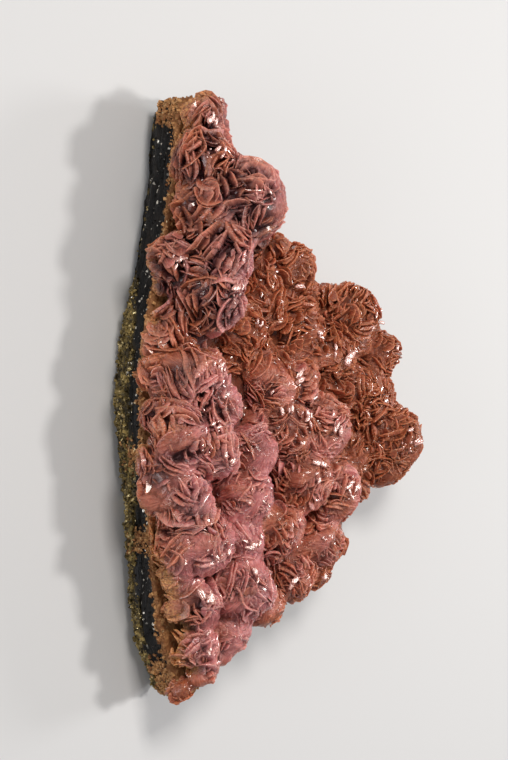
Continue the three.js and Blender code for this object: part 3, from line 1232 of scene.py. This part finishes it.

# %% [markdown]
# ## The finish of the rhodochrosite
# The stone's own pink is from manganese. Iron turns it orange to brown towards the far side. A
# blade's face is darker and its rim is painted pale, a painted highlight for the light that falls
# through the thin rim. Growth fibres run from the root to the rim, so the streaks follow the UV map
# `grain`. Gaps are painted darker as shade, stained places are a crumbly ochre, and a few of the
# blades shine under a thin clear coat.

# %% Rhodochrosite finish
def rhodochrosite_finish():
    material, start, shader = new_material("rhodochrosite_finish")
    rim = start.attribute("rim")
    depth = start.attribute("depth")
    orange = start.attribute("orange")
    gloss = start.attribute("gloss")
    stain = start.attribute("stain")
    place = start.node("ShaderNodeTexCoord", output="Object")
    cloud = start.noise(place, 240, 2)
    speck = start.noise(place, 2600, 2)
    grain_place = start.node("ShaderNodeUVMap", {"uv_map": "grain"}, output="UV")
    streak_place = start.node("ShaderNodeMapping", None, {"Vector": grain_place, "Scale": (2.4, 0.6, 1.0)})
    streak = start.noise(streak_place, 1.0, 3)
    fibre_place = start.node("ShaderNodeMapping", None, {"Vector": grain_place, "Scale": (4.4, 0.5, 1.0)})
    fibre = start.noise(fibre_place, 1.0, 2)
    hue = orange + (cloud - 0.5) * 0.9
    face = hue.between(-0.4, 0.15).mix(rgb(0.43, 0.138, 0.175), rgb(0.57, 0.160, 0.158))
    face = hue.between(0.1, 0.6).mix(face, rgb(0.48, 0.125, 0.068))
    face = hue.between(0.5, 1.1).mix(face, rgb(0.34, 0.074, 0.029))
    # Painted highlight: edge is the pale colour painted on blade rims and, a little, on the body's rib
    # crests, for light that falls through and catches there; light mixes towards it by rim and by random
    # streaks.
    edge = hue.between(0, 1).mix(rgb(0.92, 0.44, 0.38), rgb(0.72, 0.25, 0.11))
    light = (rim * 0.5 + (speck - 0.5) * 0.8 + (streak - 0.5) * 0.8 + (fibre - 0.5) * 0.9 + 0.05).clamped()
    colour = light.mix(face, edge)
    # Painted shade: gaps under the skin are painted dark by depth, and the streaks and fibres add the stone's
    # own darker marks.
    shade_colour_in_gaps = hue.between(0.5, 1.1).mix(rgb(0.085, 0.021, 0.022), rgb(0.17, 0.038, 0.015))
    gap_shade_and_streaks = (depth**1.5 * 1.1 + (0.5 - streak) * 0.5 + (0.5 - fibre) * 0.5).clamped()
    colour = gap_shade_and_streaks.mix(colour, shade_colour_in_gaps)
    crumb_light = ((speck - 0.5) * 3.0 + (cloud - 0.5) + 0.45).clamped()
    crumbs = crumb_light.mix(rgb(0.26, 0.085, 0.030), rgb(0.80, 0.37, 0.14))
    colour = (stain + (cloud - 0.5) * stain).clamped().mix(colour, crumbs)
    feed(shader, "Base Color", colour)
    shine = (gloss + (cloud - 0.5) * 0.5).between(0.50, 0.78) * (1 - stain)
    feed(shader, "Roughness", 0.48 - shine * 0.22 + (speck - 0.5) * 0.2)
    feed(shader, "Coat Weight", shine)
    height = streak * 0.6 + fibre * 1.1 + speck * (0.3 + stain)
    bump = start.node("ShaderNodeBump", None, {"Height": height, "Strength": 0.9, "Distance": 0.24 * MM})
    feed(shader, "Normal", bump)
    shader.inputs["IOR"].default_value = 1.65
    shader.inputs["Subsurface Weight"].default_value = 0.3
    shader.inputs["Subsurface Radius"].default_value = (1.0, 0.45, 0.3)
    shader.inputs["Subsurface Scale"].default_value = 0.9 * MM
    shader.inputs["Specular IOR Level"].default_value = 0.4
    shader.inputs["Coat Roughness"].default_value = 0.09
    return material


blade_finish = rhodochrosite_finish()
print(blade_finish.name, len(blade_finish.node_tree.nodes), "shader nodes")

# %% [markdown]
# ## The finish of rock and grains
# The sulphide, the druse and the ochre share one finish with other colours. Two scales of noise make
# it uneven. The brightest grains and a few small cells shine like metal, as pyrite does in such rock.
# The sulphide's noise is drawn out along its length, because it is laminated and fibrous.

# %% Rock and grain finish
def grain_finish(name, rock, other, spark, spark_from, grain_from, roughness, stretch=(1.0, 1.0, 1.0)):
    """A finish for rough rock and its grains, with a few shining specks.

    rock and other are each a dark and a light colour. The attribute "other" goes from rock to other."""
    material, start, shader = new_material(name)
    straight = start.node("ShaderNodeTexCoord", output="Object")
    place = start.node("ShaderNodeMapping", None, {"Vector": straight, "Scale": stretch})
    tone = start.attribute("tone")
    cloud = start.noise(place, 350, 3)
    fine_noise = start.noise(place, 1400, 3)
    cells = start.node("ShaderNodeTexVoronoi", None, {"Vector": straight, "Scale": 2600}, output="Color")
    cell = start.node("ShaderNodeSeparateColor", None, {"Color": cells}, output="Red")
    shade = (cloud * 0.9 + fine_noise * 1.3 - 0.75 + (tone - 0.4) * 0.5).between(0, 1)
    bright_grain = tone.between(grain_from, grain_from + 0.04)
    glint = (bright_grain + cell.between(spark_from, spark_from + 0.02)).clamped()
    is_other = start.attribute("other")
    feed(shader, "Base Color", glint.mix(is_other.mix(shade.mix(*rock), shade.mix(*other)), spark))
    feed(shader, "Roughness", roughness - glint * (roughness - 0.22))
    feed(shader, "Metallic", glint * 0.8)
    height = fine_noise + cell * 0.4
    bump = start.node("ShaderNodeBump", None, {"Height": height, "Strength": 1.0, "Distance": 0.3 * MM})
    feed(shader, "Normal", bump)
    shader.inputs["Specular IOR Level"].default_value = 0.25
    return material


SULPHIDE = (rgb(0.003, 0.0024, 0.0024), rgb(0.034, 0.024, 0.018))
DRUSE = (rgb(0.038, 0.027, 0.011), rgb(0.48, 0.34, 0.115))
OCHRE = (rgb(0.23, 0.090, 0.032), rgb(0.78, 0.42, 0.17))
STEEL_SPARK = rgb(0.75, 0.70, 0.62)
BRASS_SPARK = rgb(0.9, 0.72, 0.36)
PALE_SPARK = rgb(0.9, 0.75, 0.45)
LAMINATED = (1.0, 0.22, 1.4)
sulphide_finish = grain_finish("sulphide_finish", SULPHIDE, DRUSE, STEEL_SPARK, 0.972, 0.80, 0.42, LAMINATED)
druse_finish = grain_finish("druse_finish", DRUSE, SULPHIDE, BRASS_SPARK, 0.975, 0.93, 0.45)
ochre_finish = grain_finish("ochre_finish", OCHRE, DRUSE, PALE_SPARK, 0.985, 0.97, 0.65)
print("rock finishes:", sulphide_finish.name, druse_finish.name, ochre_finish.name)

# %% [markdown]
# ## The finish of the cleavage faces
# A cleavage face is smooth, so it mirrors the light from one side only. Fine steps in its bump map
# break the reflection up, so that it doesn't look like glass.

# %% Cleavage finish
def cleavage_finish():
    """Pale pink and glossy, with fine steps that break up the reflection."""
    material, start, shader = new_material("cleavage_finish")
    place = start.node("ShaderNodeTexCoord", output="Object")
    steps = start.noise(place, 3500, 2)
    bump = start.node("ShaderNodeBump", None, {"Height": steps, "Strength": 1.0, "Distance": 0.05 * MM})
    feed(shader, "Normal", bump)
    feed(shader, "Base Color", steps.between(0.35, 0.65).mix(rgb(0.40, 0.14, 0.11), rgb(0.75, 0.42, 0.36)))
    shader.inputs["IOR"].default_value = 1.65
    shader.inputs["Roughness"].default_value = 0.2
    return material


mirrors.data.materials.append(cleavage_finish())
print("slots of the cleavage faces:", [slot.name for slot in mirrors.data.materials])

# %% [markdown]
# ## Handing out the finishes
# Each rock has one finish, which its layer and its grains share. The blades and the body share one
# too, so that they look like one stone.

# %% Hand out the finishes
for piece in blade_pieces + [body]:
    piece.data.materials.append(blade_finish)
for piece in (slab, slab_glitter):
    piece.data.materials.append(sulphide_finish)
for piece in (crust, crust_grains, crust_outliers):
    piece.data.materials.append(druse_finish)
for piece in (ochre, ochre_grains, ochre_crumbs):
    piece.data.materials.append(ochre_finish)
print("pieces with the rhodochrosite finish:", len(blade_pieces) + 1)

# %% [markdown]
# ## The floor's finish
# The floor is plain light grey. Far from the specimen it glows faintly, so that it fades into the
# surroundings and low views show no horizon.

# %% Floor finish
floor_finish, floor_start, floor_shader = new_material("floor_finish")
floor_place = floor_start.node("ShaderNodeTexCoord", output="Object")
length = {"operation": "LENGTH"}
from_middle = floor_start.node("ShaderNodeVectorMath", length, {0: floor_place}, output="Value")
glow = from_middle.between(0.25, 1.1).mix(rgb(0, 0, 0), rgb(0.45, 0.45, 0.45))
feed(floor_shader, "Emission Color", glow)
floor_shader.inputs["Emission Strength"].default_value = 1.0
floor_shader.inputs["Base Color"].default_value = rgb(0.66, 0.66, 0.67)
floor_shader.inputs["Roughness"].default_value = 0.6
floor.data.materials.append(floor_finish)
print("floor finish:", floor_finish.name)

# %% [markdown]
# ## Tie the pieces to the solids
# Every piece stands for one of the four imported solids. None of them moves, so all ride on the root
# body. The slot's name says which material a piece is of, so that another colour can be put on it.

# %% Ride, replace and finish
STANDS_FOR = {
    "rhodochrosite": blade_pieces + [mirrors, body],
    "black_slab": [slab, slab_glitter],
    "ochre_layer": [ochre, ochre_grains, ochre_crumbs],
    "back_crust": [crust, crust_grains, crust_outliers],
}
for node, pieces in STANDS_FOR.items():
    for piece in pieces:
        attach(piece, "root")
        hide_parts(node)

pieces = [piece for group in STANDS_FOR.values() for piece in group]
triangles = [sum(len(face.vertices) - 2 for face in piece.data.polygons) for piece in pieces]
print("triangles:", sum(triangles), "in all, at most", max(triangles), "a piece")
